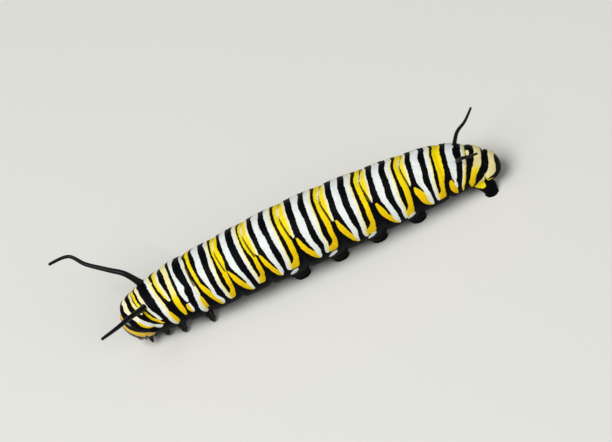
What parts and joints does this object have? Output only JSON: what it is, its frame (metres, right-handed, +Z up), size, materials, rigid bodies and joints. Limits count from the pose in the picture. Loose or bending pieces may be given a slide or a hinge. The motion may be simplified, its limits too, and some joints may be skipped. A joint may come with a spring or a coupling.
{
  "type": "monarch butterfly larva",
  "caption": "Life-size still model of a full-grown monarch butterfly larva, banded black, white and yellow, resting on its feet with its soft feelers spread.",
  "frame": {"origin": "on the floor under the middle of the whole larva, feelers included", "axes": "+X from the head to the tail, +Y to the larva's right, +Z up"},
  "size_m": [0.046, 0.0132, 0.0093],
  "materials": {
    "skin": "soft matte skin with crisp bands of black, white and yellow",
    "feeler_skin": "soft matte black skin, finely grained",
    "head_capsule": "hard glossy black shell with yellow arcs",
    "mouth_horn": "glossy dark brown horn",
    "leg_horn": "glossy black horn",
    "eye_lens": "polished black lens"
  },
  "bodies": {
    "root": {"thorax_1": "skin", "thorax_2": "skin", "thorax_3": "skin", "abdomen_1": "skin", "abdomen_2": "skin", "abdomen_3": "skin", "abdomen_4": "skin", "abdomen_5": "skin", "abdomen_6": "skin", "abdomen_7": "skin", "abdomen_8": "skin", "abdomen_9": "skin", "abdomen_10": "skin", "head": "head_capsule", "mouthparts": "mouth_horn", "antenna_left": "mouth_horn", "antenna_right": "mouth_horn", "eye_left_1": "eye_lens", "eye_left_2": "eye_lens", "eye_left_3": "eye_lens", "eye_left_4": "eye_lens", "eye_left_5": "eye_lens", "eye_left_6": "eye_lens", "eye_right_1": "eye_lens", "eye_right_2": "eye_lens", "eye_right_3": "eye_lens", "eye_right_4": "eye_lens", "eye_right_5": "eye_lens", "eye_right_6": "eye_lens", "feeler_front_right": "feeler_skin", "feeler_front_left": "feeler_skin", "feeler_rear_right": "feeler_skin", "feeler_rear_left": "feeler_skin", "leg_1_left": "leg_horn", "leg_1_right": "leg_horn", "leg_2_left": "leg_horn", "leg_2_right": "leg_horn", "leg_3_left": "leg_horn", "leg_3_right": "leg_horn", "proleg_3_left": "skin", "proleg_3_right": "skin", "proleg_4_left": "skin", "proleg_4_right": "skin", "proleg_5_left": "skin", "proleg_5_right": "skin", "proleg_6_left": "skin", "proleg_6_right": "skin", "tail_proleg_left": "skin", "tail_proleg_right": "skin"}
  },
  "joints": []
}
